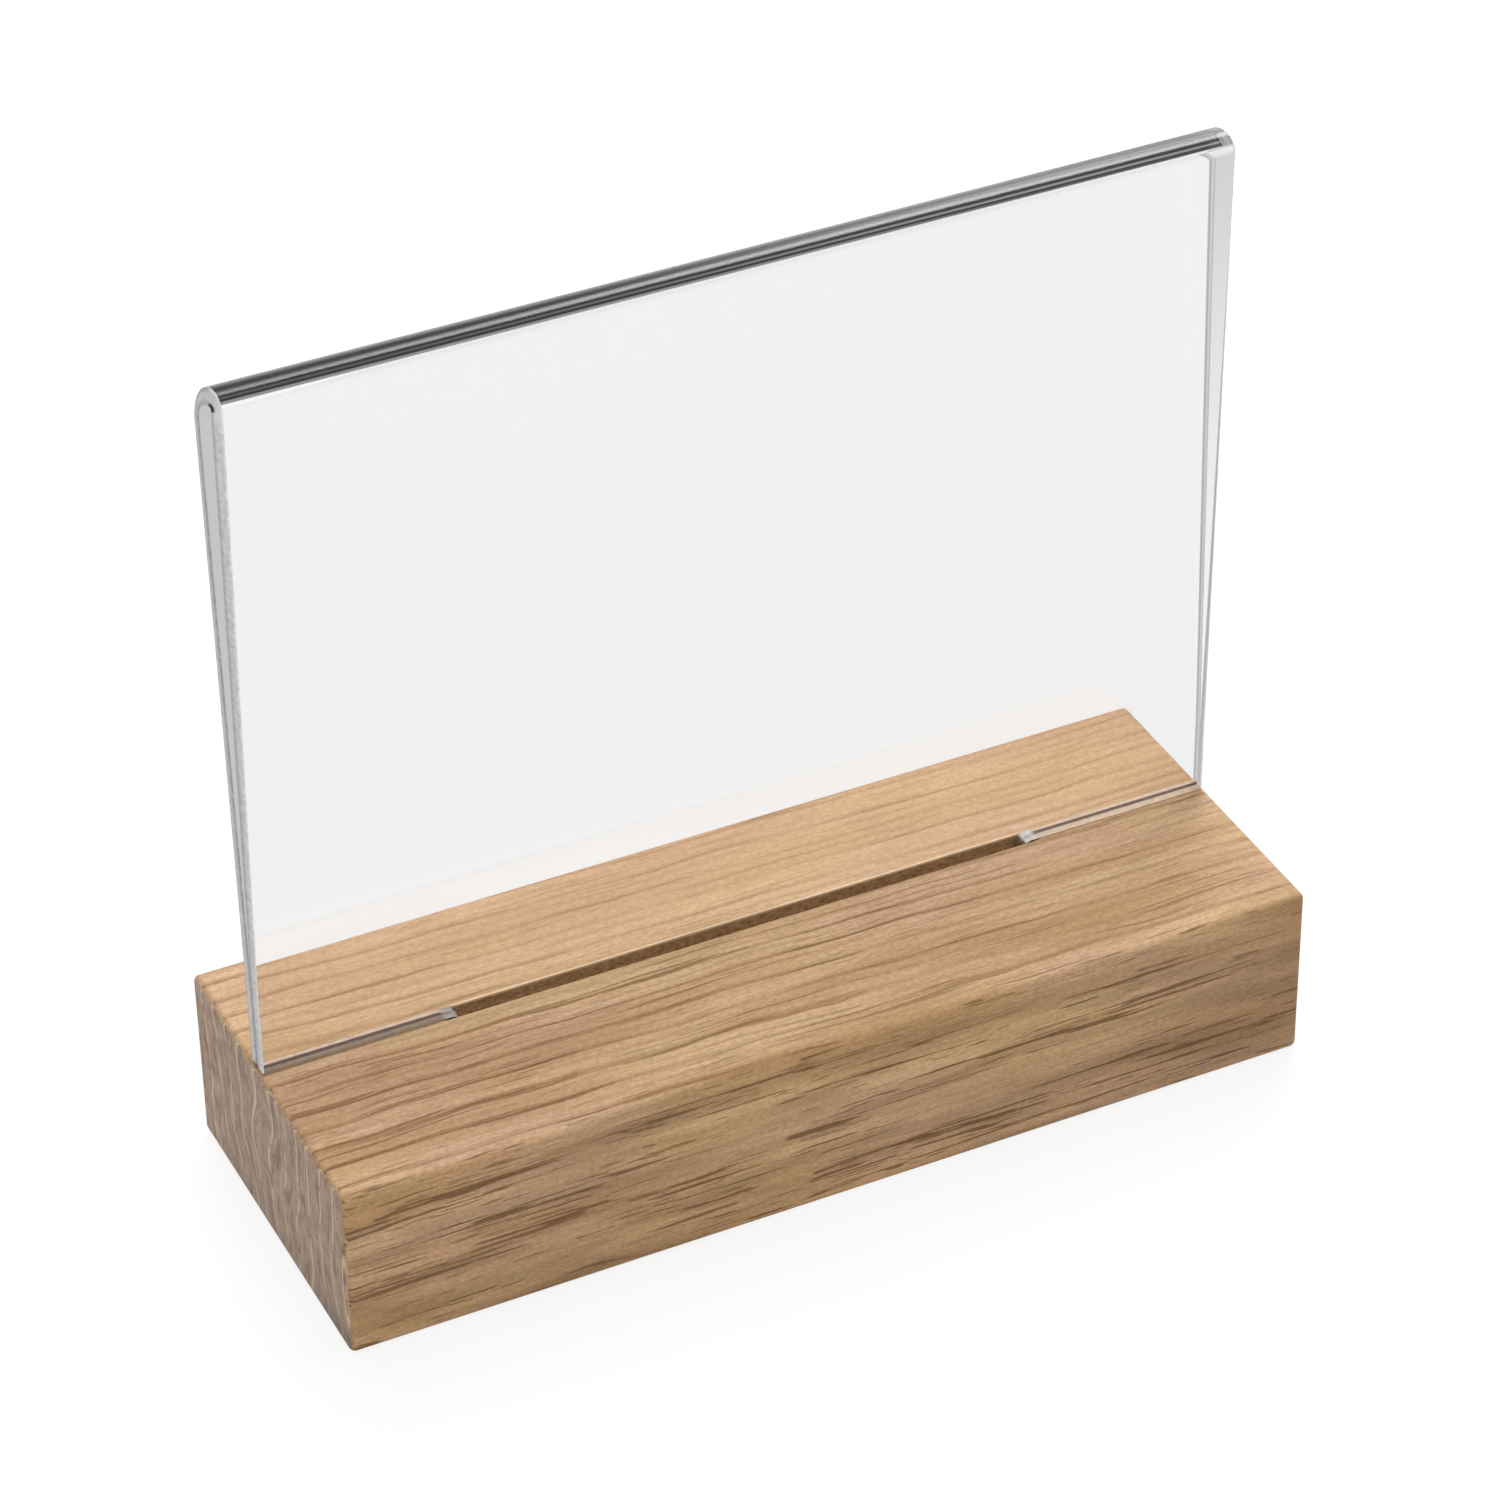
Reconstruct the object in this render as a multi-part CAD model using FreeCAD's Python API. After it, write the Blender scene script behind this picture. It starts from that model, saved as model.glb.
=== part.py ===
import FreeCAD, Part
import math
import os

# Photo block holder: a solid oak block with a stopped slot in its top, and one clear
# acrylic sheet folded double over a print, whose tab stands in that slot.
# Millimetres. +X along the block, +Y to the back, +Z up. The origin is the middle of
# the block's underside.

# Print that the sleeve is made for, lying on its long side
print_width = 148.0
print_height = 105.0
print_side_margin = 0.5
print_headroom = 3.7

# Oak block
block_length = 150.0
block_depth = 55.0
block_height = 28.0
block_edge_radius = 1.0

# Acrylic sleeve, a sheet folded over: tight at the front, and round at the back
sheet_thickness = 2.0
front_fold_radius = 0.2
back_fold_radius = 4.9
leg_gap = 0.2
knee_height = 12.0
knee_bend_radius = 200.0
sleeve_setback = 3.7

# Tab under the sleeve, and the slot that holds it
tab_width = 89.0
tab_depth = 13.0
tab_corner_radius = 1.5
slot_side_clearance = 0.15
slot_end_clearance = 0.4
slot_floor_clearance = 1.0

# Every cutter runs past the face that it cuts by this much
cut_overrun = 1.0

# Sizes that follow from the ones above
sleeve_width = print_width + 2 * print_side_margin
cavity_top = block_height + print_height + print_headroom
fold_peak_offset = (front_fold_radius - back_fold_radius) / 2
tab_bottom = block_height - tab_depth
slot_width = leg_gap + 2 * (sheet_thickness + slot_side_clearance)
slot_straight_length = tab_width + 2 * (tab_corner_radius + slot_end_clearance)
slot_floor = tab_bottom - slot_floor_clearance


def point(x, y, z):
    return FreeCAD.Vector(x, y, z)


def line(start, end):
    return Part.LineSegment(start, end).toShape()


def arc(start, middle, end):
    return Part.Arc(start, middle, end).toShape()


def face_of(edges):
    return Part.Face(Part.Wire(Part.__sortEdges__(edges)))


# A hand-sized oak block, its edges eased all round
def eased_block():
    corner = point(-block_length / 2, -block_depth / 2, 0)
    block = Part.makeBox(block_length, block_depth, block_height, corner)
    return block.makeFillet(block_edge_radius, block.Edges)


# The cutter's path in the block's top: a straight slot with the cutter's round ends
def slot_cutter():
    half_length = slot_straight_length / 2
    half_width = slot_width / 2
    front = sleeve_setback - half_width
    back = sleeve_setback + half_width
    tip = half_length + half_width
    outline = [
        line(point(-half_length, front, slot_floor), point(half_length, front, slot_floor)),
        arc(
            point(half_length, front, slot_floor),
            point(tip, sleeve_setback, slot_floor),
            point(half_length, back, slot_floor),
        ),
        line(point(half_length, back, slot_floor), point(-half_length, back, slot_floor)),
        arc(
            point(-half_length, back, slot_floor),
            point(-tip, sleeve_setback, slot_floor),
            point(-half_length, front, slot_floor),
        ),
    ]
    height = block_height - slot_floor + cut_overrun
    return face_of(outline).extrude(point(0, 0, height))


def oak_block():
    return eased_block().cut(slot_cutter())


# The fold's two arcs meet at its peak. This gives one arc's radius on the face towards
# the print, and its centre as a distance out from the sleeve's middle plane and a height.
# side is 1 for the back leg and -1 for the front one.
def fold_arc(side):
    radius = back_fold_radius if side > 0 else front_fold_radius
    return radius, side * fold_peak_offset, cavity_top - radius


# Lean of a leg: straight up from the tab to the knee, then out to touch its arc
def leg_lean(side):
    radius, centre, centre_height = fold_arc(side)
    rise = centre_height - block_height - knee_height
    reach = centre - leg_gap / 2
    return math.asin(radius / math.hypot(rise, reach)) + math.atan2(reach, rise)


# A point of the sheet's left end, from its distance out on a leg's side and its height
def sheet_point(side, out, height):
    return point(-sleeve_width / 2, sleeve_setback + side * out, height)


# Where a leg ends and its arc of the fold starts. An offset of zero is the face towards
# the print, and the sheet's thickness is the outer face.
def fold_start(offset, side):
    radius, centre, centre_height = fold_arc(side)
    lean = leg_lean(side)
    reach = radius + offset
    return sheet_point(side, centre + reach * math.cos(lean), centre_height - reach * math.sin(lean))


# One face of a leg, from the tab's foot to where the fold starts
def leg_face(offset, side):
    lean = leg_lean(side)
    plane = leg_gap / 2 + offset
    bend_radius = knee_bend_radius + sheet_thickness - offset
    bend_start_z = block_height + knee_height - (knee_bend_radius + sheet_thickness) * math.tan(lean / 2)

    def on_bend(angle):
        out = plane + bend_radius * (1 - math.cos(angle))
        return sheet_point(side, out, bend_start_z + bend_radius * math.sin(angle))

    return [
        line(sheet_point(side, plane, tab_bottom), on_bend(0)),
        arc(on_bend(0), on_bend(lean / 2), on_bend(lean)),
        line(on_bend(lean), fold_start(offset, side)),
    ]


# One face of the fold on a leg's side, up to the peak
def fold_face(offset, side):
    radius, centre, centre_height = fold_arc(side)
    reach = radius + offset
    halfway = (math.pi / 2 - leg_lean(side)) / 2
    middle = sheet_point(side, centre + reach * math.cos(halfway), centre_height + reach * math.sin(halfway))
    return arc(fold_start(offset, side), middle, sheet_point(side, centre, centre_height + reach))


# The cut end of a leg at the foot of the tab
def foot_edge(side):
    inner = leg_gap / 2
    return line(sheet_point(side, inner, tab_bottom), sheet_point(side, inner + sheet_thickness, tab_bottom))


# The sheet folded double, as wide as the sleeve all the way down
def folded_sheet():
    edges = []
    for side in (1, -1):
        edges.append(foot_edge(side))
        for offset in (0, sheet_thickness):
            edges.append(fold_face(offset, side))
            edges += leg_face(offset, side)
    return face_of(edges).extrude(point(sleeve_width, 0, 0))


# What is cut away beside the tab, so that a shoulder stands on the block. side is 1 for
# the right shoulder and -1 for the left one.
def shoulder_cutter(side):
    y = sleeve_setback - leg_gap / 2 - sheet_thickness - cut_overrun
    tab_edge = tab_width / 2
    outside = sleeve_width / 2 + cut_overrun
    below = tab_bottom - cut_overrun
    radius = tab_corner_radius
    rounding = radius * (1 - math.sqrt(0.5))

    def place(x, z):
        return point(side * x, y, z)

    outline = [
        line(place(tab_edge, below), place(outside, below)),
        line(place(outside, below), place(outside, block_height)),
        line(place(outside, block_height), place(tab_edge + radius, block_height)),
        arc(
            place(tab_edge + radius, block_height),
            place(tab_edge + rounding, block_height - rounding),
            place(tab_edge, block_height - radius),
        ),
        line(place(tab_edge, block_height - radius), place(tab_edge, below)),
    ]
    depth = leg_gap + 2 * (sheet_thickness + cut_overrun)
    return face_of(outline).extrude(point(0, depth, 0))


def acrylic_sleeve():
    sheet = folded_sheet()
    for side in (1, -1):
        sheet = sheet.cut(shoulder_cutter(side))
    return sheet


pieces = {
    "oak_block": oak_block(),
    "acrylic_sleeve": acrylic_sleeve(),
}

os.makedirs("parts", exist_ok=True)
for name, shape in pieces.items():
    solid = shape.Solids[0]
    solid.exportStep(os.path.join("parts", name + ".step"))
    print(name, "solids", len(shape.Solids), "volume", round(shape.Volume, 1), "valid", shape.isValid())
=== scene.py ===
import math

import bmesh
import bpy
from mathutils import Euler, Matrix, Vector


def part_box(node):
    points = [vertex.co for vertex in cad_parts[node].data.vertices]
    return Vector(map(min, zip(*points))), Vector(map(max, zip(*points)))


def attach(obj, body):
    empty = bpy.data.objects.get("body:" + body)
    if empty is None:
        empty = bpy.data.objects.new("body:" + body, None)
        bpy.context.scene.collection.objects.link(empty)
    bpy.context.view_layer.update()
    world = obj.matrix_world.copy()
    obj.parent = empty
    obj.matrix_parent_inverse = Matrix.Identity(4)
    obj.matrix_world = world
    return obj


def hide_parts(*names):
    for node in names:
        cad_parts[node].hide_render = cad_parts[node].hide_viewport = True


# A photo block holder: an oak block, and a clear acrylic sheet folded double that
# stands in the block's slot. Metres, +X along the block, +Y to the back, +Z up.

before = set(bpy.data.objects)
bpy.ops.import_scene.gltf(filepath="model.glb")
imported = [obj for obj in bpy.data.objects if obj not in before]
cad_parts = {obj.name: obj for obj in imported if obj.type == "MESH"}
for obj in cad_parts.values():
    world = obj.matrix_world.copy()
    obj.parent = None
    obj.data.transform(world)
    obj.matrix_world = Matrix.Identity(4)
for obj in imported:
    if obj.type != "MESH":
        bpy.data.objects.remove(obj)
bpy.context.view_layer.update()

MM = 0.001

# Camera of the photograph. The picture is square.
sensor_width = 36.0
lens = 131.17
camera_reach = 20.0
camera_place = Vector((-266.0, -558.1, 503.5)) * MM
camera_angles = (54.36, 0.66, -25.95)

# Folded sheet, as in the part's source
sheet_thickness = 2.0 * MM
front_fold_radius = 0.2 * MM
leg_gap = 0.2 * MM
knee_height = 12.0 * MM
knee_bend_radius = 200.0 * MM
tab_width = 89.0 * MM
tab_corner_radius = 1.5 * MM

# Its cut edges are eased round, and its shoulders stand a hair above the block
cut_edge_easing = 0.2 * MM
easing_segments = 2
round_profile = 0.5
shoulder_air = 0.06 * MM

# The bend draws the outer skin in at both ends, most at the tight front fold
end_draw = 0.8 * MM
draw_reach_front = 30.0 * MM
draw_reach_back = 12.0 * MM

# How finely the curves of the sheet are divided
front_fold_steps = 28
back_fold_steps = 48
knee_steps = 6
corner_steps = 8
smooth_angle = math.radians(20)

# Of the flat sheet's faces, those that look up less than this are cut, and those that look
# up more belong to a skin. Between the two lie the eased corners.
cut_facing = 0.3
skin_facing = 0.95
skin_slot, cut_slot, eased_slot = range(3)

# Sizes that follow from the frame and the ones above
sleeve_low, sleeve_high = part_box("acrylic_sleeve")
block_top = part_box("oak_block")[1].z
sleeve_width = sleeve_high.x - sleeve_low.x
sleeve_middle_y = (sleeve_low.y + sleeve_high.y) / 2
back_fold_radius = sleeve_high.y - sleeve_low.y - 2 * sheet_thickness - front_fold_radius
fold_peak_offset = (front_fold_radius - back_fold_radius) / 2
cavity_top = sleeve_high.z - sheet_thickness
knee_z = block_top + knee_height
bend_radius = knee_bend_radius + sheet_thickness


# Short names for the shader nodes
class Nodes:
    def __init__(self, tree):
        self.tree = tree
        tree.nodes.clear()

    def put(self, socket, value):
        if isinstance(value, bpy.types.NodeSocket):
            self.tree.links.new(value, socket)
        elif socket.type == "RGBA" and len(value) == 3:
            socket.default_value = (*value, 1.0)
        else:
            socket.default_value = value

    def add(self, kind, settings=None, **inputs):
        node = self.tree.nodes.new(kind)
        for name, value in (settings or {}).items():
            setattr(node, name, value)
        for name, value in inputs.items():
            self.put(node.inputs[name.replace("_", " ")], value)
        return node

    # Gives a node its inputs in their order
    def fill(self, node, *values):
        for socket, value in zip(node.inputs, values):
            self.put(socket, value)
        return node

    def math(self, operation, *values):
        return self.fill(self.add("ShaderNodeMath", {"operation": operation}), *values).outputs[0]

    def chain(self, operation, first, *others):
        for other in others:
            first = self.math(operation, first, other)
        return first

    def plus(self, *values):
        return self.chain("ADD", *values)

    def minus(self, *values):
        return self.chain("SUBTRACT", *values)

    def times(self, *values):
        return self.chain("MULTIPLY", *values)

    def vector(self, operation, *values):
        node = self.fill(self.add("ShaderNodeVectorMath", {"operation": operation}), *values)
        return node.outputs["Value" if operation == "LENGTH" else "Vector"]

    def parts(self, place):
        return self.add("ShaderNodeSeparateXYZ", Vector=place).outputs

    def joined(self, x, y, z):
        return self.add("ShaderNodeCombineXYZ", X=x, Y=y, Z=z).outputs[0]

    def noise(self, place, size, detail, roughness=0.5):
        scaled = self.vector("MULTIPLY", place, tuple(1.0 / length for length in size))
        node = self.add("ShaderNodeTexNoise", Vector=scaled, Scale=1.0, Detail=detail, Roughness=roughness)
        return node.outputs["Fac"]

    # A noise around zero, times the given width
    def swing(self, place, noise, width):
        return self.times(self.minus(self.noise(place, *noise), 0.5), width)

    # 0 up to low and 1 from high on, or other results at low and high
    def span(self, value, low, high, at_low=0.0, at_high=1.0, smooth=True):
        settings = {"interpolation_type": "SMOOTHSTEP" if smooth else "LINEAR"}
        node = self.add("ShaderNodeMapRange", settings, Value=value,
                        From_Min=low, From_Max=high, To_Min=at_low, To_Max=at_high)
        return node.outputs["Result"]

    def fade(self, value, low, high):
        return self.span(value, low, high, 1.0, 0.0)

    # 1 between two spans of a value, and 0 before the first and after the second
    def line(self, value, start, end):
        return self.times(self.span(value, *start), self.fade(value, *end))

    # The second value where share is 1, and the first where it is 0
    def pick(self, share, first, second):
        node = self.add("ShaderNodeMix", Factor=share)
        self.put(node.inputs[2], first)
        self.put(node.inputs[3], second)
        return node.outputs[0]

    # The same for colours
    def blend(self, share, first, second, kind="MIX"):
        node = self.add("ShaderNodeMix", {"data_type": "RGBA", "blend_type": kind}, Factor=share)
        self.put(node.inputs[6], first)
        self.put(node.inputs[7], second)
        return node.outputs[2]

    def tinted(self, colour, tint):
        return self.blend(1.0, colour, tint, "MULTIPLY")

    def bump(self, height, strength, depth):
        return self.add("ShaderNodeBump", Strength=strength, Distance=depth, Height=height).outputs[0]

    def mixed_shaders(self, share, first, second):
        return self.fill(self.add("ShaderNodeMixShader"), share, first, second).outputs[0]


def new_material(name):
    material = bpy.data.materials.new(name)
    material.use_nodes = True
    return material, Nodes(material.node_tree)


def in_millimetres(nodes):
    place = nodes.add("ShaderNodeTexCoord").outputs["Object"]
    return nodes.vector("MULTIPLY", place, (1 / MM,) * 3)


# From here on, a noise is its size in millimetres along x, y and z, its detail, and its
# roughness where that isn't 0.5. A span is where something starts and ends, and its results
# there where they aren't 0 and 1. Places are in millimetres, and colours are linear.

# The oak block, its slot, and which way its faces look
block_top_mm = 28.0
slot_middle_mm = 3.7
slot_half_mm = 2.35
slot_reach_mm = 48.8
side_facing = (0.3, 0.8)
top_facing = (0.6, 0.95)
end_facing = (0.6, 0.9)
behind_slot = (2, 12)
back_edge = (25.8, 27.0)

# The growth rings stand nearly upright along the block, and lean to the front going down
ring_width = 4.1
ring_lean = 0.34
ring_slant = 0.02
ring_offset = 0.3
ring_unevenness = 0.8
uneven_noise = ((1, 6, 1), 1.0)
sway_width = 3.4
sway_noise = ((110, 34, 40), 1.0)
ripple_width = 1.7
ripple_noise = ((15, 8, 10), 1.0)

# Early wood, the dark porous line that starts each ring, bolder in some rings and places
early_start = (0.0, 0.07)
early_end = (0.10, 0.36)
mood_length = 38.0
mood_per_ring = 3.7
mood_height = 24.0
mood_noise = ((1, 1, 1), 1.0)
mood_span = (0.34, 0.62, 0.3, 1.0)
bolder_left = (-70, 20, 0.35, 0.0)
fainter_right = (0, 60, 1.0, 0.78)
early_behind_slot = 0.7
early_past_back_edge = 0.25

# Thinner lines between the rings
thin_lines_per_ring = 2.0
thin_line_offset = 0.9
thin_line_start = (0.0, 0.1)
thin_line_end = (0.18, 0.5)
thin_line_noise = ((18, 3, 3), 1.0)
thin_line_span = (0.38, 0.58, 0.0, 0.34)

# Open pores, thin tubes along the grain that crowd in the early wood, and fibres
pore_noise = ((30, 0.62, 0.62), 1.0)
pore_span = (0.72, 0.78)
short_pore_noise = ((11, 0.40, 0.40), 1.0)
short_pore_span = (0.73, 0.79)
pore_group_noise = ((30, 5, 5), 1.0)
crowd_in_early_wood = 0.10
crowd_in_groups = 0.14
crowded_left = (-70, 20, 0.02, 0.0)
pores_behind_slot = 0.45
pores_past_back_edge = 0.5
fibre_noise = ((9, 0.28, 0.28), 2.0, 0.6)
fibre_span = (0.30, 0.70, 0.0, 0.38)
fleck_noise = ((0.9, 0.45, 0.45), 2.0, 0.6)
fleck_shade = (0.30, 0.70, 0.88, 1.12)

# Patches of lighter and deeper wood, more even behind the slot, and painted light on top in front of it to
# the right
patch_noise = ((48, 7, 6), 2.0)
patch_span = (0.32, 0.68)
patches_behind_slot = (0, 1, 0.35, 0.72)
painted_light_x = (0, 30, 0.0, 0.8)
painted_light_front = (-9, -4)
painted_light_back = (2, 4)
hue_noise = ((38, 14, 10), 1.0)
hue_span = (0.35, 0.65)
light_wood = ((0.59, 0.388, 0.20), (0.58, 0.368, 0.212))
deep_wood = ((0.45, 0.272, 0.125), (0.44, 0.26, 0.135))

# Colours of the lines and pores, and how strongly they show on top and on the sides
early_wood = (0.29, 0.155, 0.065)
early_share = (0.72, 0.42)
thin_line_wood = (0.30, 0.165, 0.07)
fibre_wood = (0.31, 0.172, 0.075)
short_pore_wood = (0.18, 0.085, 0.032)
short_pore_share = (0.5, 0.7)
pore_wood = (0.16, 0.072, 0.026)
pore_share = (0.55, 0.85)

# Random clouds on the sides, and painted shade: a little darker behind, to the right and lower down. The
# top gets a painted sheen.
cloud_noise = ((26, 5, 3.2), 2.0)
cloud_shade = (0.34, 0.66, 0.86, 1.12)
right_side_shade = (-10, 60, 1.0, 0.93)
behind_shade = (5, 9, 1.0, 0.94)
corner_slope = 1.6
corner_shade = (30, 130, 1.03, 0.88)
top_sheen = (1.01, 1.05, 1.17)

# Finish of the wood
oak_roughness = 0.50
fibre_roughness = 0.16
fibre_height = 0.35
oak_bump_strength = 0.5
oak_bump_depth = 0.06 * MM
oak_specular = 0.3

# End grain: greyer, with pale bent lines and darker ones beside them
end_bend_width = 9.0
end_bend_noise = ((1, 20, 17), 1.0)
end_lean = 0.05
end_line_spacing = 4.6
end_line_start = (0.0, 0.03)
end_line_end = (0.10, 0.17)
end_break_noise = ((1, 2.6, 4.5), 2.0, 0.6)
end_break_span = (0.38, 0.48)
end_fine_noise = ((1, 1.2, 7), 3.0, 0.6)
end_fine_span = (0.57, 0.61)
end_fine_share = 0.40
end_pale_share = 0.85
end_pale_wood = (0.74, 0.60, 0.41)
end_dark_shift = (40.0, 0.0, 0.0)
end_dark_noise = ((1, 1.3, 7), 3.0, 0.62)
end_dark_span = (0.52, 0.62)
end_dark_share = 0.7
end_dark_wood = (0.22, 0.135, 0.095)
end_blotch_noise = ((1, 2.2, 2.8), 3.0, 0.6)
end_blotch_span = (0.3, 0.7)
end_wood = ((0.38, 0.25, 0.17), (0.53, 0.37, 0.265))

# A dark patch low down on the end, next to the front
low_dark_z = (1.0, 5.5)
low_dark_y = (-23, -13)
low_dark_blotches = (0.2, 0.8, 0.35, 1.0)
low_dark_tone = (0.15, 0.11, 0.095)

# The slot's walls, painted dark as shade, and a pale painted highlight on the lip along its back edge
slot_fade = 0.1
slot_mouth = (0.15, 0.45)
slot_flecks = (0.25, 0.75)
slot_shade_tones = ((0.20, 0.09, 0.03), (0.50, 0.27, 0.12))
slot_depth_shade = (1.0, 2.6, 0.8, 1.5)
lip_start = (-0.3, 0.0)
lip_end = (0.05, 0.35)
lip_reach = (44, 46, 0.6, 0.0)
lip_highlight = (0.86, 0.66, 0.45)


def end_grain(n, place, below_top):
    x, y, z = n.parts(place)
    upright_y = n.plus(y, n.swing(place, end_bend_noise, end_bend_width), n.times(below_top, end_lean))
    upright = n.joined(x, upright_y, z)
    across = n.math("FRACT", n.math("DIVIDE", upright_y, end_line_spacing))
    unbroken = n.span(n.noise(place, *end_break_noise), *end_break_span)
    lines = n.times(n.line(across, end_line_start, end_line_end), unbroken)
    fine_lines = n.times(n.span(n.noise(upright, *end_fine_noise), *end_fine_span), end_fine_share)
    pale_lines = n.math("MAXIMUM", lines, fine_lines)
    shifted = n.vector("ADD", upright, end_dark_shift)
    dark_lines = n.span(n.noise(shifted, *end_dark_noise), *end_dark_span)
    blotches = n.span(n.noise(place, *end_blotch_noise), *end_blotch_span)
    tone = n.blend(blotches, *end_wood)
    tone = n.blend(n.times(dark_lines, end_dark_share), tone, end_dark_wood)
    tone = n.blend(n.times(pale_lines, end_pale_share), tone, end_pale_wood)
    low_dark_patch = n.times(n.fade(z, *low_dark_z), n.fade(y, *low_dark_y), n.span(blotches, *low_dark_blotches))
    return n.blend(low_dark_patch, tone, low_dark_tone)


# The wood's colour with the painted shade of the slot's walls and the painted highlight of its lip laid
# over it
def with_slot(n, colour, place, below_top, flecks):
    x, y = n.parts(place)[:2]
    along = n.math("ABSOLUTE", x)
    off_middle = n.math("ABSOLUTE", n.minus(y, slot_middle_mm))
    in_slot = n.times(
        n.fade(off_middle, slot_half_mm, slot_half_mm + slot_fade),
        n.fade(along, slot_reach_mm, slot_reach_mm + slot_fade),
        n.span(below_top, *slot_mouth),
    )
    # Painted shade on the slot's walls, deeper near the mouth
    walls = n.blend(n.span(flecks, *slot_flecks), *slot_shade_tones)
    walls = n.tinted(walls, n.span(below_top, *slot_depth_shade))
    off_edge = n.minus(y, slot_middle_mm + slot_half_mm)
    # Painted highlight on the lip along the slot's back edge
    lip = n.line(off_edge, lip_start, lip_end)
    lip = n.times(lip, n.fade(below_top, *slot_mouth), n.span(along, *lip_reach))
    return n.blend(lip, n.blend(in_slot, colour, walls), lip_highlight)


# How strongly a pattern shows across the block, calmer behind the slot
def calm(n, y, behind, past_back_edge):
    return n.plus(n.span(y, *behind_slot, 1.0, behind), n.span(y, *back_edge, 0.0, past_back_edge))


# How much early wood there is, and how much of the thinner lines. leaning is the distance
# across the growth rings.
def ring_lines(n, place, leaning, along_grain):
    x, y, z = n.parts(place)
    depth = n.plus(leaning, n.times(x, ring_slant))
    uneven = n.times(n.noise(n.joined(0.0, depth, 0.0), *uneven_noise), ring_unevenness)
    turn = n.plus(n.math("DIVIDE", depth, ring_width), uneven, ring_offset)
    mood_place = n.joined(
        n.math("DIVIDE", x, mood_length),
        n.times(n.math("FLOOR", turn), mood_per_ring),
        n.math("DIVIDE", z, mood_height),
    )
    mood = n.plus(n.span(n.noise(mood_place, *mood_noise), *mood_span), n.span(x, *bolder_left))
    calmed = calm(n, y, early_behind_slot, early_past_back_edge)
    early = n.line(n.math("FRACT", turn), early_start, early_end)
    early = n.times(early, n.times(mood, calmed, n.span(x, *fainter_right)))
    between = n.math("FRACT", n.plus(n.times(turn, thin_lines_per_ring), thin_line_offset))
    thin_share = n.span(n.noise(along_grain, *thin_line_noise), *thin_line_span)
    return early, n.times(n.line(between, thin_line_start, thin_line_end), thin_share)


# How much of a long pore and of a short one there is
def open_pores(n, x, along_grain, early):
    groups = n.times(n.noise(along_grain, *pore_group_noise), crowd_in_groups)
    crowd = n.plus(n.times(early, crowd_in_early_wood), groups, n.span(x, *crowded_left))
    pores = n.span(n.plus(n.noise(along_grain, *pore_noise), crowd), *pore_span)
    return pores, n.span(n.plus(n.noise(along_grain, *short_pore_noise), crowd), *short_pore_span)


# Lighter and deeper wood, and a painted light patch in front of the slot, before its lines and pores
def patched_wood(n, place, along_grain, on_top):
    x, y = n.parts(place)[:2]
    patches = n.span(n.noise(along_grain, *patch_noise), *patch_span)
    even_patches = n.span(patches, *patches_behind_slot, smooth=False)
    patches = n.pick(n.span(y, *behind_slot), patches, even_patches)
    # Painted light on top in front of the slot to the right
    painted_light_patch = n.times(
        n.span(x, *painted_light_x),
        n.span(y, *painted_light_front),
        n.fade(y, *painted_light_back),
        on_top,
    )
    hue = n.span(n.noise(along_grain, *hue_noise), *hue_span)
    lightness = n.math("MAXIMUM", patches, painted_light_patch)
    return n.blend(lightness, n.blend(hue, *deep_wood), n.blend(hue, *light_wood))


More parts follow.
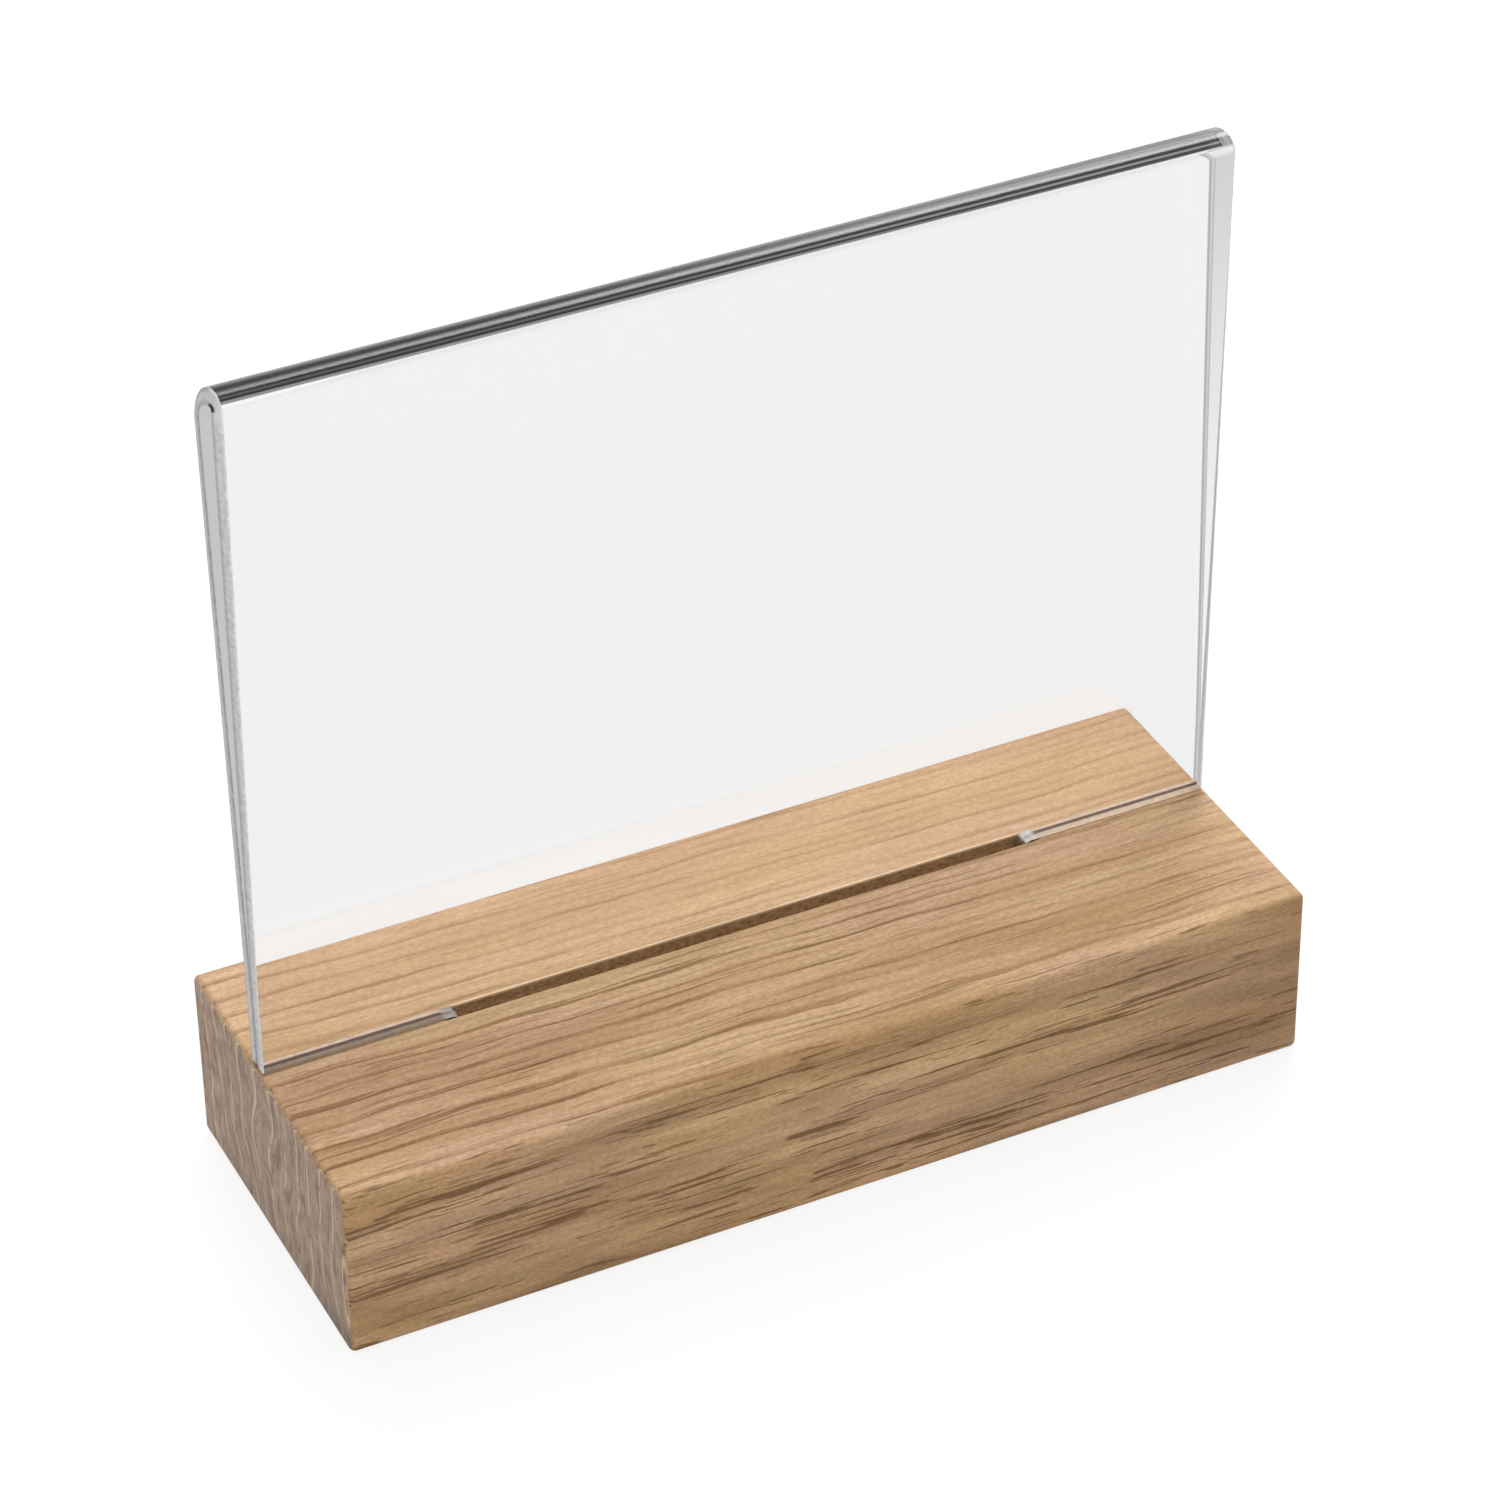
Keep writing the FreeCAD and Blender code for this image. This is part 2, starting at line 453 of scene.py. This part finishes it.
def oak_material():
    material, n = new_material("oak")
    place = in_millimetres(n)
    x, y, z = n.parts(place)
    facing = n.parts(n.add("ShaderNodeTexCoord").outputs["Normal"])
    on_side = n.span(n.math("ABSOLUTE", facing[1]), *side_facing)
    on_top = n.span(facing[2], *top_facing)
    on_end = n.span(n.math("ABSOLUTE", facing[0]), *end_facing)
    below_top = n.minus(block_top_mm, z)

    # The grain wanders a little across the block, and leans with the rings
    wander = n.plus(n.swing(place, sway_noise, sway_width), n.swing(place, ripple_noise, ripple_width))
    leaning = n.plus(n.plus(y, wander), n.times(below_top, ring_lean))
    along_grain = n.joined(x, leaning, z)
    early, thin = ring_lines(n, place, leaning, along_grain)
    pores, short_pores = open_pores(n, x, along_grain, early)
    fibres = n.noise(along_grain, *fibre_noise)
    flecks = n.noise(place, *fleck_noise)
    pores_show = calm(n, y, pores_behind_slot, pores_past_back_edge)

    # Colour, from broad patches down to pores
    tone = patched_wood(n, place, along_grain, on_top)
    tone = n.blend(n.times(early, n.span(on_side, 0, 1, *early_share)), tone, early_wood)
    tone = n.blend(n.times(thin, on_top), tone, thin_line_wood)
    tone = n.blend(n.times(n.span(fibres, *fibre_span), pores_show), tone, fibre_wood)
    short_share = n.times(short_pores, pores_show, n.span(on_side, 0, 1, *short_pore_share))
    tone = n.blend(short_share, tone, short_pore_wood)
    tone = n.blend(n.times(pores, pores_show, n.span(on_side, 0, 1, *pore_share)), tone, pore_wood)

    # Random flecks and clouds, and painted shade behind, to the right and lower down
    # Painted shade to the right and lower down
    corner = n.span(n.plus(x, n.times(below_top, corner_slope)), *corner_shade)
    clouds = n.times(n.span(n.noise(along_grain, *cloud_noise), *cloud_shade), n.span(x, *right_side_shade))
    broad_shade = n.pick(on_side, n.span(y, *behind_shade), clouds)
    tone = n.tinted(tone, n.times(n.span(flecks, *fleck_shade), corner, broad_shade))
    # Painted sheen on the top faces
    tone = n.blend(on_top, tone, n.tinted(tone, top_sheen))
    colour = n.blend(on_end, tone, end_grain(n, place, below_top))
    colour = with_slot(n, colour, place, below_top, flecks)

    roughness = n.plus(oak_roughness, n.times(fibres, fibre_roughness))
    height = n.minus(n.times(fibres, fibre_height), n.math("MAXIMUM", pores, short_pores))
    relief = n.bump(height, oak_bump_strength, oak_bump_depth)
    surface = n.add("ShaderNodeBsdfPrincipled", Base_Color=colour, Roughness=roughness, Normal=relief)
    surface.inputs["Specular IOR Level"].default_value = oak_specular
    n.add("ShaderNodeOutputMaterial", Surface=surface.outputs[0])
    return material


# Clear acrylic, and what a lamp's light keeps at each skin that it crosses
acrylic_ior = 1.49
acrylic_tints = ((0.992, 0.994, 0.994), (0.997, 0.998, 0.998))
lamp_tint = (0.965, 0.967, 0.967)
haze_noise = ((9, 9, 9), 3.0, 0.6)
haze_roughness = (0.3, 0.7, 0.004, 0.02)
wave_noise = ((26, 26, 26), 1.0)
wave_depth = 0.02 * MM


def acrylic_material():
    material, n = new_material("clear_acrylic")
    place = in_millimetres(n)
    haze = n.noise(place, *haze_noise)
    waves = n.bump(n.noise(place, *wave_noise), 1.0, wave_depth)
    glass = n.add("ShaderNodeBsdfPrincipled", Base_Color=n.blend(haze, *acrylic_tints),
                  Roughness=n.span(haze, *haze_roughness), Normal=waves)
    glass.inputs["IOR"].default_value = acrylic_ior
    glass.inputs["Transmission Weight"].default_value = 1.0

    # Lamps reach what stands behind the sheet
    clear = n.add("ShaderNodeBsdfTransparent", Color=lamp_tint)
    to_lamp = n.add("ShaderNodeLightPath").outputs["Is Shadow Ray"]
    n.add("ShaderNodeOutputMaterial", Surface=n.mixed_shaders(to_lamp, glass.outputs[0], clear.outputs[0]))
    return material


# The sheet's cut faces, left matt by the saw, and its eased corners, painted darker as shade: their dull
# and bright tones
cut_tones = ((0.66, 0.66, 0.67), (0.86, 0.86, 0.87))
eased_shade_tones = ((0.44, 0.44, 0.45), (0.68, 0.68, 0.69))
cut_glow = 0.4
cut_patch_noise = ((1, 1.1, 0.9), 3.0, 0.7)
cut_patch_span = (0.3, 0.7)
saw_noise = ((1, 0.9, 0.16), 2.0, 0.6)
saw_share = (0.55, 0.75, 0.0, 0.35)
saw_shade = 0.75
saw_roughness = (0.3, 0.7, 0.3, 0.5)
saw_bump_strength = 0.6
saw_depth = 0.05 * MM

# How far out from the print each point of the sheet lies, from 0 to 1, is kept under this name
out_share_name = "out_share"

# Cut faces get painted highlights at the crown of the fold and at the right end, and painted shade next to
# the print, along the back leg's outer rim and at the crease.
crown_z = (133.0, 137.0, 0.0, 0.7)
crown_highlight = (0.93, 0.93, 0.94)
right_end_x = (30, 60, 0.0, 0.75)
right_end_highlight = (0.96, 0.96, 0.97)
by_print_out = (0.12, 0.45, 0.34, 0.0)
by_print_shade = (0.16, 0.16, 0.165)
back_rim_out = (0.6, 0.95)
back_rim_start_mm = 1
back_rim_end_mm = 3
back_rim_share = 0.55
back_rim_shade = (0.22, 0.22, 0.225)

# The crease is the tight front end of the fold's inside
crease_height = 0.1 * MM
crease_y_mm = (sleeve_middle_y + fold_peak_offset - front_fold_radius) / MM
crease_z_mm = (cavity_top + crease_height) / MM
crease_width_mm = 0.8
crease_depth_mm = 0.55
crease_span = (0.7, 1.3)
crease_shade = (0.03, 0.03, 0.032)

# Where the sheet stands on the block, its cut faces get a painted reflection of the wood and painted shade:
# the back leg's is pale outside and dark inside, and the front leg's takes on the wood's tone to the right.
# The tab's corners get painted glints, with painted shade below them. Lifted off, it's clear.
stood_mm = (0.1, 0.6)
back_leg_out = (0.58, 0.72)
back_leg_shade_and_reflection = ((0.15, 0.10, 0.085), (0.96, 0.78, 0.64))
front_leg_out = (0.2, 0.45)
front_leg_wood_reflection = ((0.45, 0.36, 0.29), (0.33, 0.245, 0.17))
front_leg_right_x = (10, 30)
front_leg_right_reflection = (0.95, 0.80, 0.65)
tab_corner_x = (46.6, 47.4)
tab_corner_glints = ((0.57, 0.52, 0.48), (0.95, 0.90, 0.87))
tab_corner_z = (27.65, 27.9)
below_tab_corner_shade = (0.22, 0.14, 0.085)
stood_patches = (0.3, 0.7, 0.82, 1.04)


# The painted reflection and shade of a cut face that stands on the block, and how much of it there is
def stood_look(n, x, y, z, out_share, patches):
    room_z = n.parts(n.add("ShaderNodeNewGeometry").outputs["Position"])[2]
    stood = n.fade(room_z, *((block_top_mm + above) * MM for above in stood_mm))
    # Painted reflection of the wood and painted shade on the legs' cut faces
    back_leg = n.blend(n.span(out_share, *back_leg_out), *back_leg_shade_and_reflection)
    front_leg = n.blend(n.span(out_share, *front_leg_out), *front_leg_wood_reflection)
    front_leg = n.blend(n.span(x, *front_leg_right_x), front_leg, front_leg_right_reflection)
    tone = n.blend(n.math("GREATER_THAN", y, slot_middle_mm), front_leg, back_leg)
    # Painted glints at the tab's corners, with painted shade below them
    corner = n.blend(n.math("GREATER_THAN", x, 0.0), *tab_corner_glints)
    corner = n.blend(n.span(z, *tab_corner_z), below_tab_corner_shade, corner)
    tone = n.blend(n.fade(n.math("ABSOLUTE", x), *tab_corner_x), tone, corner)
    return stood, n.tinted(tone, n.span(patches, *stood_patches))


def cut_material(name, dull, bright):
    material, n = new_material(name)
    place = in_millimetres(n)
    x, y, z = n.parts(place)
    saw_marks = n.noise(place, *saw_noise)
    patches = n.noise(place, *cut_patch_noise)
    out_share = n.add("ShaderNodeAttribute", {"attribute_name": out_share_name}).outputs["Fac"]
    back_rim = n.times(
        n.span(out_share, *back_rim_out),
        n.span(y, crease_y_mm + back_rim_start_mm, crease_y_mm + back_rim_end_mm),
        back_rim_share,
    )
    aside = n.math("DIVIDE", n.minus(y, crease_y_mm), crease_width_mm)
    above = n.math("DIVIDE", n.minus(z, crease_z_mm), crease_depth_mm)
    off_crease = n.vector("LENGTH", n.joined(aside, above, 0.0))
    stood, stood_reflection_and_shade = stood_look(n, x, y, z, out_share, patches)

    tone = n.blend(n.span(patches, *cut_patch_span), dull, bright)
    tone = n.blend(n.span(saw_marks, *saw_share), tone, tuple(saw_shade * part for part in dull))
    # Painted highlights at the crown and the right end, then painted shade by the print, along the back rim
    # and at the crease
    tone = n.blend(n.span(z, *crown_z), tone, crown_highlight)
    tone = n.blend(n.span(x, *right_end_x), tone, right_end_highlight)
    tone = n.blend(n.span(out_share, *by_print_out), tone, by_print_shade)
    tone = n.blend(back_rim, tone, back_rim_shade)
    tone = n.blend(n.fade(off_crease, *crease_span), tone, crease_shade)
    # Painted reflection of the wood and painted shade where the sheet stands on the block
    tone = n.blend(stood, tone, stood_reflection_and_shade)

    relief = n.bump(saw_marks, saw_bump_strength, saw_depth)
    roughness = n.span(saw_marks, *saw_roughness)
    matt = n.add("ShaderNodeBsdfPrincipled", Base_Color=tone, Roughness=roughness, Normal=relief)
    glow = n.add("ShaderNodeBsdfTranslucent", Color=tone, Normal=relief)
    n.add("ShaderNodeOutputMaterial", Surface=n.mixed_shaders(cut_glow, matt.outputs[0], glow.outputs[0]))
    return material


# One leg of the sheet with its half of the fold. side is 1 for the back leg and -1 for
# the front one. Distances along it start at the fold's peak, on the face towards the
# print.
class Leg:
    def __init__(self, side, radius, steps):
        self.side = side
        self.radius = radius
        self.steps = steps
        self.centre = side * fold_peak_offset
        self.centre_z = cavity_top - radius
        rise = self.centre_z - knee_z
        reach = self.centre - leg_gap / 2
        self.lean = math.asin(radius / math.hypot(rise, reach)) + math.atan2(reach, rise)
        self.bend_start_z = knee_z - bend_radius * math.tan(self.lean / 2)
        bend_end_z = self.bend_start_z + bend_radius * math.sin(self.lean)
        fold_foot_z = self.centre_z - radius * math.sin(self.lean)
        self.at_fold_foot = radius * (math.pi / 2 + self.lean)
        self.at_bend_top = self.at_fold_foot + (fold_foot_z - bend_end_z) / math.cos(self.lean)
        self.at_bend_foot = self.at_bend_top + bend_radius * self.lean

    def along_at(self, height):
        return self.at_bend_foot + self.bend_start_z - height

    # Where the curves are cut into short flat stretches
    def cuts(self):
        bend = self.at_bend_foot - self.at_bend_top
        fold_cuts = [self.at_fold_foot * step / self.steps for step in range(self.steps + 1)]
        return fold_cuts + [self.at_bend_top + bend * step / knee_steps for step in range(knee_steps + 1)]

    # The place of a point a distance along the leg and out from the face towards the print
    def bent(self, along, out):
        if along <= self.at_bend_top:
            angle = max(-self.lean, math.pi / 2 - along / self.radius)
            reach = self.radius + out
            down = max(0.0, along - self.at_fold_foot)
            y = self.centre + reach * math.cos(angle) - down * math.sin(self.lean)
            z = self.centre_z + reach * math.sin(angle) - down * math.cos(self.lean)
        else:
            angle = max(0.0, (self.at_bend_foot - along) / bend_radius)
            down = max(0.0, along - self.at_bend_foot)
            y = leg_gap / 2 + bend_radius - (bend_radius - out) * math.cos(angle)
            z = self.bend_start_z + (bend_radius - out) * math.sin(angle) - down
        return self.side * y, z


legs = {1: Leg(1, back_fold_radius, back_fold_steps), -1: Leg(-1, front_fold_radius, front_fold_steps)}


# How far an end of the sheet is drawn in at a point of the flat sheet
def drawn_in(along, out):
    reach = draw_reach_back if along > 0 else draw_reach_front
    share = max(0.0, 1 - abs(along) / reach)
    return end_draw * share * share * (3 - 2 * share) * out / sheet_thickness


# One quarter of the flat sheet's outline, with the rounded corner beside the tab
def quarter_outline(side_x, side_y):
    leg = legs[side_y]
    half_tab = tab_width / 2
    shoulder = leg.along_at(block_top + shoulder_air)
    points = [(half_tab, leg.along_at(sleeve_low.z))]
    for step in range(corner_steps + 1):
        angle = math.pi / 2 * step / corner_steps
        points.append((half_tab + tab_corner_radius * (1 - math.cos(angle)),
                       shoulder + tab_corner_radius * (1 - math.sin(angle))))
    points.append((sleeve_width / 2, shoulder))
    return [(side_x * x, side_y * along) for x, along in points]


def flat_outline():
    back_right = quarter_outline(1, 1)
    front_right = quarter_outline(1, -1)[::-1]
    front_left = quarter_outline(-1, -1)
    back_left = quarter_outline(-1, 1)[::-1]
    return back_right + front_right + front_left + back_left


# The skins are clear and the cut faces matt. The corners towards the print are painted dark as shade,
# except the front leg's at its right end, which the light gets through.
def finish_of(face):
    upright = abs(face.normal.z)
    if upright > skin_facing:
        return skin_slot
    middle = face.calc_center_median()
    towards_print = middle.z < sheet_thickness / 2
    far_front = middle.x > 0 and middle.y < 0
    return eased_slot if upright > cut_facing and towards_print and not far_front else cut_slot


# The folded sheet, laid out flat, eased along its cut edges, then bent
def folded_sheet():
    sheet = bmesh.new()
    base = sheet.faces.new([sheet.verts.new((x, along, 0)) for x, along in flat_outline()])
    raised = bmesh.ops.extrude_face_region(sheet, geom=[base])["geom"]
    bmesh.ops.translate(sheet, verts=[v for v in raised if isinstance(v, bmesh.types.BMVert)],
                        vec=(0, 0, sheet_thickness))
    bmesh.ops.recalc_face_normals(sheet, faces=sheet.faces)
    long_edges = [e for e in sheet.edges if abs(e.verts[0].co.z - e.verts[1].co.z) < sheet_thickness / 2]
    bmesh.ops.bevel(sheet, geom=long_edges, offset=cut_edge_easing, segments=easing_segments,
                    profile=round_profile, affect="EDGES", clamp_overlap=True)
    sheet.normal_update()
    for face in sheet.faces:
        face.material_index = finish_of(face)
    for side, leg in legs.items():
        for cut in leg.cuts():
            geometry = list(sheet.verts) + list(sheet.edges) + list(sheet.faces)
            bmesh.ops.bisect_plane(sheet, geom=geometry, plane_co=(0, side * cut, 0), plane_no=(0, 1, 0))
    out_share = sheet.verts.layers.float.new(out_share_name)
    for vertex in sheet.verts:
        x, along, out = vertex.co
        vertex[out_share] = out / sheet_thickness
        if abs(x) > sleeve_width / 2 - 2 * cut_edge_easing:
            x = math.copysign(abs(x) - drawn_in(along, out), x)
        y, z = legs[1 if along > 0 else -1].bent(abs(along), out)
        vertex.co = (x, sleeve_middle_y + y, z)
    bmesh.ops.recalc_face_normals(sheet, faces=sheet.faces)
    for face in sheet.faces:
        face.smooth = True
    return sheet


def mesh_object(name, mesh_builder, *materials):
    mesh = bpy.data.meshes.new(name)
    mesh_builder.to_mesh(mesh)
    mesh_builder.free()
    for material in materials:
        mesh.materials.append(material)
    thing = bpy.data.objects.new(name, mesh)
    bpy.context.scene.collection.objects.link(thing)
    return thing


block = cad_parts["oak_block"]
block.data.materials.clear()
block.data.materials.append(oak_material())

sheet_materials = (acrylic_material(), cut_material("cut_acrylic", *cut_tones),
                   # The eased corners' material carries painted shade
                   cut_material("eased_acrylic", *eased_shade_tones))
sleeve = mesh_object("folded_sheet", folded_sheet(), *sheet_materials)
sleeve.data.set_sharp_from_angle(angle=smooth_angle)
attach(sleeve, "sleeve")
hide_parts("acrylic_sleeve")

# Pale floor. The camera sees this share of it as white background, under the shadow.
floor_size = 6.0
floor_tone = 0.55
floor_tone_change = 0.01
floor_noise = ((40, 40, 40), 2.0)
floor_white = 1.2
background_share = 0.7

# How bright the white surroundings are through one wall of the sheet, brighter to the right,
# and through two
behind_one_wall = 0.60
bright_side_x = (20, 90)
bright_side_y = (60, 260, 0.34, 0.0)
behind_two_walls = 1.0

# The floor as the sheet mirrors it, dimmer to the right
mirrored_slant = 0.46
mirrored_dimmed = (10, 75, 1.0, 0.72)

# What light that is turned round inside the fold comes from: a dark room, with a slanting lit
# strip of floor to the right behind, near and far
room_dark = 0.045
strip_offset = 31.6
strip_slant = 0.382
near_strip_beside = (-80, 100, 0.04, 0.5)
near_strip_start = (130, 450, 0.4, 1.0)
near_strip_end = (760, 900)
far_strip_beside = (-180, 190, 0.12, 0.34)
far_strip_start = (1100, 1300)
far_strip_end = (2200, 3000, 1.0, 0.4)

# The world, by how high it is seen: as the object sees it, mirrored, and turned round
room_light = 0.36
horizon_span = (-0.05, 0.30, 1.0, 0.25)
overhead_span = (0.30, 0.60, 1.0, 0.3)
turned_world = (0.016, 0.072, room_dark, 0.33)

# The soft box that the fold mirrors, in degrees up from straight behind and round to the right
soft_box_low = (22, 36)
soft_box_high = (58, 74)
soft_box_left = (15, 29)
soft_box_right = (60, 80)
soft_box_bright = 5.2

# How often a ray was mirrored or crossed a skin is above these from one time on, and from
# three times on
under_once = 0.5
under_three_times = 2.5


# Which surroundings a ray meets, worked out from how it came
class Sight:
    def __init__(self, n):
        ray = n.add("ShaderNodeLightPath").outputs
        was_mirrored = n.math("GREATER_THAN", ray["Glossy Depth"], under_once)
        has_passed = n.math("GREATER_THAN", ray["Transmission Depth"], under_once)
        self.n = n
        self.two_walls = n.math("GREATER_THAN", ray["Transmission Depth"], under_three_times)
        seen = n.math("MAXIMUM", ray["Is Glossy Ray"], ray["Is Transmission Ray"])
        self.mirrored = ray["Is Glossy Ray"]
        self.camera = ray["Is Camera Ray"]
        self.seen = n.math("MAXIMUM", seen, ray["Is Camera Ray"])
        self.turned = n.times(was_mirrored, has_passed, seen)
        self.through = n.times(n.minus(1.0, was_mirrored), ray["Is Transmission Ray"])

    # The brightness that the sheet shows through its walls or turned round, else the plain one
    def brightness(self, plain, one_wall, turned):
        behind = self.n.pick(self.two_walls, one_wall, behind_two_walls)
        return self.n.pick(self.turned, self.n.pick(self.through, plain, behind), turned)


def floor_material():
    material, n = new_material("pale_floor")
    place = in_millimetres(n)
    x, y = n.parts(place)[:2]
    tones = ((floor_tone - floor_tone_change,) * 3, (floor_tone + floor_tone_change,) * 3)
    matt = n.add("ShaderNodeBsdfDiffuse", Color=n.blend(n.noise(place, *floor_noise), *tones))

    beside = n.minus(x, strip_offset, n.times(y, strip_slant))
    near = n.times(n.span(beside, *near_strip_beside), n.span(y, *near_strip_start))
    near = n.times(near, n.fade(y, *near_strip_end))
    far = n.times(n.span(beside, *far_strip_beside), n.span(y, *far_strip_start))
    far = n.times(far, n.span(y, *far_strip_end))
    strip = n.chain("MAXIMUM", near, far, room_dark)
    one_wall = n.plus(behind_one_wall, n.times(n.span(x, *bright_side_x), n.span(y, *bright_side_y)))
    mirrored = n.span(n.minus(x, n.times(y, mirrored_slant)), *mirrored_dimmed)

    sight = Sight(n)
    level = sight.brightness(n.pick(sight.mirrored, floor_white, mirrored), one_wall, strip)
    glow = n.add("ShaderNodeEmission", Color=(1, 1, 1), Strength=level)
    share = n.pick(sight.camera, sight.seen, background_share)
    n.add("ShaderNodeOutputMaterial", Surface=n.mixed_shaders(share, matt.outputs[0], glow.outputs[0]))
    return material


def studio_world():
    world = bpy.data.worlds.new("studio")
    bpy.context.scene.world = world
    world.use_nodes = True
    n = Nodes(world.node_tree)
    aside, ahead, up = n.parts(n.add("ShaderNodeTexCoord").outputs["Generated"])
    rise = n.math("DEGREES", n.math("ARCTAN2", up, ahead))
    round_right = n.math("DEGREES", n.math("ARCTAN2", aside, ahead))
    soft_box = n.times(n.line(rise, soft_box_low, soft_box_high),
                       n.line(round_right, soft_box_left, soft_box_right))
    room = n.times(n.span(up, *horizon_span), n.span(up, *overhead_span))
    mirrored = n.plus(room, n.times(soft_box, soft_box_bright))
    sight = Sight(n)
    plain = n.pick(sight.seen, room_light, mirrored)
    level = sight.brightness(plain, behind_one_wall, n.span(up, *turned_world))
    back = n.add("ShaderNodeBackground", Color=(1, 1, 1), Strength=n.pick(sight.camera, level, 1.0))
    n.add("ShaderNodeOutputWorld", Surface=back.outputs[0])


# Soft lamps: how far from the middle of the object, how far round to the right of straight
# behind and how high in degrees, size, power, and whether the object mirrors it
lit_middle = Vector((0, 0, 0.05))
lamps = {
    "back_box": (1.25, 28, 44, (1.1, 0.75), 14.0, False),
    "overhead_box": (1.1, 10, 80, (1.0, 0.7), 6.2, False),
    "front_fill": (1.5, 188, 27, (1.2, 0.9), 8.4, True),
}


def soft_lamp(name, distance, round_right, height, size, power, mirrored):
    light = bpy.data.lights.new(name, "AREA")
    light.shape = "RECTANGLE"
    light.size, light.size_y = size
    light.energy = power
    lamp = bpy.data.objects.new(name, light)
    lamp.visible_transmission = False
    lamp.visible_glossy = mirrored
    turn, rise = math.radians(round_right), math.radians(height)
    away = Vector((math.sin(turn) * math.cos(rise), math.cos(turn) * math.cos(rise), math.sin(rise)))
    lamp.location = lit_middle + away * distance
    lamp.rotation_euler = away.to_track_quat("Z", "Y").to_euler()
    bpy.context.scene.collection.objects.link(lamp)


floor_mesh = bmesh.new()
bmesh.ops.create_grid(floor_mesh, x_segments=1, y_segments=1, size=floor_size / 2)
floor = mesh_object("floor", floor_mesh, floor_material())
studio_world()
for lamp_name, lamp_setting in lamps.items():
    soft_lamp(lamp_name, *lamp_setting)

camera_data = bpy.data.cameras.new("camera")
camera_data.sensor_width = sensor_width
camera_data.lens = lens
camera_data.clip_end = camera_reach
camera = bpy.data.objects.new("camera", camera_data)
camera.location = camera_place
camera.rotation_euler = Euler([math.radians(angle) for angle in camera_angles])
bpy.context.scene.collection.objects.link(camera)
bpy.context.scene.camera = camera
bpy.context.scene.view_settings.view_transform = "Standard"
